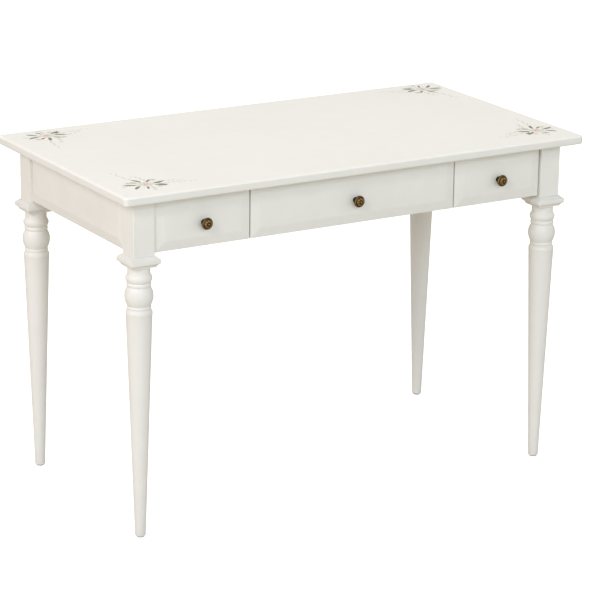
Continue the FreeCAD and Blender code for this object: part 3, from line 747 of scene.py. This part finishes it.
# Foot glides: four round pads of off-white nylon that keep the feet off a damp floor. Each is
# one moulding, held under its foot by its own pin.
DULL_NYLON = (0.62, 0.60, 0.55, 1)
PALE_NYLON = (0.72, 0.70, 0.66, 1)
nylon = Finish("nylon", Specular_IOR_Level=0.45)
scuffs = nylon.noise(nylon.places(), scale=300.0)
nylon.bump(scuffs, 0.08 * MM, 0.5)
finish_of("foot_glides", nylon.feed(
    Base_Color=nylon.mixed(scuffs, DULL_NYLON, PALE_NYLON),
    Roughness=0.45 + 0.15 * scuffs,
))

# Painted sprays: a rose with buds, leaves and tendrils in each corner of the top, painted by hand
# over the lacquer. Every mark is one brush stroke of slightly raised paint.
OLIVE = (0.060, 0.075, 0.035)
MOSS = (0.150, 0.180, 0.090)
SAGE = (0.34, 0.38, 0.22)
CREAM = (0.86, 0.79, 0.66)
BLUSH = (0.80, 0.62, 0.54)
ROSE = (0.46, 0.24, 0.20)
STRAW = (0.72, 0.70, 0.48)
DRY_STREAK = (0.80, 0.77, 0.68, 1)
STROKE_AROUND = 8
STROKE_POINTS = 9
STROKE_TIP = 0.03
THIN_PAINT = 0.35
EDGE_SHADE = 0.25
PETAL_PAINT = 0.16 * MM
HEART_PAINT = 0.22 * MM
LEAF_PAINT = 0.11 * MM
LEAFLET_PAINT = 0.09 * MM
STEM_PAINT = 0.07 * MM


def stroke(path, width, lift, start_colour, end_colour, fullness):
    """Loops of one brush stroke, and the colour of each point: a flat oval carried along a path.

    The width swells from a point and back as the sine of the share of the length, raised to the
    fullness. The paint is 'lift' thick in its middle, thinner towards the points, and the colour
    goes from one end's to the other's, darker on both sides. path holds points in metres.
    """
    share = np.linspace(0, 1, len(path))
    along = np.gradient(path, axis=0)
    along = along / np.linalg.norm(along, axis=1, keepdims=True)
    side = np.stack([along[:, 1], -along[:, 0]], axis=-1)
    swell = np.maximum(np.sin(math.pi * share), 0) ** fullness + STROKE_TIP
    angle = np.arange(STROKE_AROUND) * 2 * math.pi / STROKE_AROUND
    reach = (width / 2 * swell)[:, None] * np.cos(angle)
    rise = lift * (THIN_PAINT + (1 - THIN_PAINT) * swell)[:, None] * np.sin(angle)
    flat = path[:, None, :] + side[:, None, :] * reach[..., None]
    change = np.subtract(end_colour, start_colour)
    colour = np.array(start_colour) + change * share[:, None]
    shade = 1 - EDGE_SHADE * np.abs(np.cos(angle))
    return np.concatenate([flat, rise[..., None]], axis=-1), colour[:, None, :] * shade[None, :, None]


def curved(start, heading, length, bend, count=STROKE_POINTS):
    """A path from a point: it sets off at a heading and turns evenly by 'bend' over its length."""
    share = np.linspace(0, 1, count)
    direction = heading + bend * share
    step = length / (count - 1)
    x = start[0] + step * np.concatenate([[0], np.cumsum(np.cos(direction[:-1]))])
    y = start[1] + step * np.concatenate([[0], np.cumsum(np.sin(direction[:-1]))])
    return np.stack([x, y], axis=-1)


def arc_path(centre, radius, middle, half):
    """A path along a circle: half an angle either side of its middle direction."""
    angle = np.linspace(middle - half, middle + half, STROKE_POINTS)
    return np.stack([centre[0] + radius * np.cos(angle), centre[1] + radius * np.sin(angle)], axis=-1)


def rose(centre, size):
    """Three rounds of crescent petals, pale outside and deeper inside, about a dark heart."""
    marks = []
    for radius, petals, turn, outer, inner, width in (
        (0.78, 6, 0.0, CREAM, BLUSH, 0.40),
        (0.50, 5, 0.5, BLUSH, CREAM, 0.34),
        (0.26, 3, 0.2, ROSE, BLUSH, 0.26),
    ):
        for number in range(petals):
            middle = turn + number * 2 * math.pi / petals
            path = arc_path(centre, radius * size, middle, 3.0 / petals)
            marks.append((path, width * size, PETAL_PAINT, outer, inner, 0.6))
    heart = (centre[0] - 0.12 * size, centre[1])
    marks.append((curved(heart, 0.3, 0.26 * size, 1.2), 0.16 * size, HEART_PAINT, ROSE, ROSE, 0.5))
    return marks


TENDRIL_POINTS = 25
TENDRIL_WIDTH = 1.1 * MM
FIRST_LEAFLET = 9
LEAFLET_EVERY = 3
LEAFLET_LENGTH = 7.5 * MM
LEAFLET_WIDTH = 2.4 * MM


def tendril(start, heading, length, bend):
    """A thin curling stem with small leaflets by turns on either side."""
    path = curved(start, heading, length, bend, TENDRIL_POINTS)
    marks = [(path, TENDRIL_WIDTH, STEM_PAINT, SAGE, STRAW, 0.3)]
    for number, place in enumerate(range(FIRST_LEAFLET, TENDRIL_POINTS, LEAFLET_EVERY)):
        side = 1 if number % 2 else -1
        turn = heading + bend * place / (TENDRIL_POINTS - 1) + side * 0.75
        leaflet = curved(path[place], turn, LEAFLET_LENGTH, -side * 0.7)
        marks.append((leaflet, LEAFLET_WIDTH, LEAFLET_PAINT, STRAW, SAGE, 0.8))
    return marks


def leaf(start, heading, length, bend):
    """Two strokes side by side, a dark half and a lighter half, that meet along the midrib."""
    marks = []
    for side, colour in ((-1, OLIVE), (1, MOSS)):
        path = curved(start, heading + side * 0.16, length, bend - side * 0.34)
        marks.append((path, 0.17 * length, LEAF_PAINT, colour, colour, 0.8))
    return marks


def spray():
    """The marks of one spray about its rose, with +x and +y pointing along the edges into the top.

    Each tendril and leaf has its start and length in metres, its heading and its bend in radians.
    """
    marks = []
    for start, heading, length, bend in (
        ((0.010, 0.002), -0.32, 0.098, 0.22), ((0.012, 0.006), 0.30, 0.070, -0.9),
        ((0.000, 0.010), 1.95, 0.100, -0.35), ((0.006, 0.010), 1.15, 0.058, 0.9),
        ((-0.012, 0.002), 2.85, 0.040, 0.8), ((0.002, -0.012), -1.25, 0.034, -0.8),
    ):
        marks.extend(tendril(start, heading, length, bend))
    for start, heading, length, bend in (
        ((0.016, 0.000), 0.10, 0.034, 0.5), ((0.014, -0.010), -0.45, 0.032, -0.3),
        ((0.026, -0.006), -0.95, 0.022, 0.6), ((0.010, 0.014), 0.95, 0.026, -0.5),
        ((-0.002, 0.016), 1.70, 0.030, 0.5), ((-0.010, 0.014), 2.40, 0.024, 0.4),
        ((-0.016, 0.002), 3.05, 0.034, -0.5), ((-0.016, -0.008), 3.75, 0.030, 0.4),
        ((-0.004, -0.016), 4.55, 0.022, -0.5),
    ):
        marks.extend(leaf(start, heading, length, bend))
    for centre, size in (((0.030, 0.026), 0.0085), ((-0.030, 0.022), 0.0075), ((0.020, -0.026), 0.0070)):
        marks.extend(rose(centre, size))
    marks.extend(rose((0, 0), 0.017))
    return marks


def hand_paint():
    """Artist's paint: the stroke's own colour, streaked along by the brush, a little glossy."""
    paint = Finish("hand_paint", Specular_IOR_Level=0.5)
    colour = paint.node("ShaderNodeAttribute", {"attribute_name": "stroke_colour"}, output="Color")
    streak = paint.noise(paint.places(), scale=700.0)
    paint.bump(streak, 0.05 * MM, 0.6)
    return paint.feed(
        Base_Color=paint.mixed(paint.spread(streak, 0.35, 0.75) * 0.30, colour, DRY_STREAK),
        Roughness=0.38 + 0.15 * streak,
    )


HAND_PAINT = hand_paint()
SPRAY_PLACES = {
    # distance of the rose from the end and from the long edge of the top, in millimetres
    "front_left": (90, 84),
    "front_right": (66, 90),
    "back_left": (92, 60),
    "back_right": (66, 60),
}
for corner in CORNERS:
    from_end, from_edge = SPRAY_PLACES[corner]
    side_x = 1 if corner.endswith("left") else -1
    side_y = 1 if corner.startswith("front") else -1
    end_x = top_low.x if side_x > 0 else top_high.x
    edge_y = top_low.y if side_y > 0 else top_high.y
    heart = (end_x + side_x * from_end * MM, edge_y + side_y * from_edge * MM, top_face)
    points = []
    faces = []
    colours = []
    for mark in spray():
        loops, colour = stroke(*mark)
        if side_x * side_y < 0:
            loops = loops[:, ::-1]
            colour = colour[:, ::-1]
        stroke_points, stroke_faces = skin(loops * (side_x, side_y, 1) + heart)
        faces.extend([[number + len(points) for number in face] for face in stroke_faces])
        points.extend(stroke_points)
        colours.append(colour.reshape(-1, 3))
    piece = finished(f"{corner}_painted_spray", points, faces, HAND_PAINT, "root")
    shades = np.concatenate(colours)
    shades = np.concatenate([shades, np.ones((len(shades), 1))], axis=1)
    layer = piece.data.color_attributes.new("stroke_colour", "FLOAT_COLOR", "POINT")
    layer.data.foreach_set("color", shades.ravel())
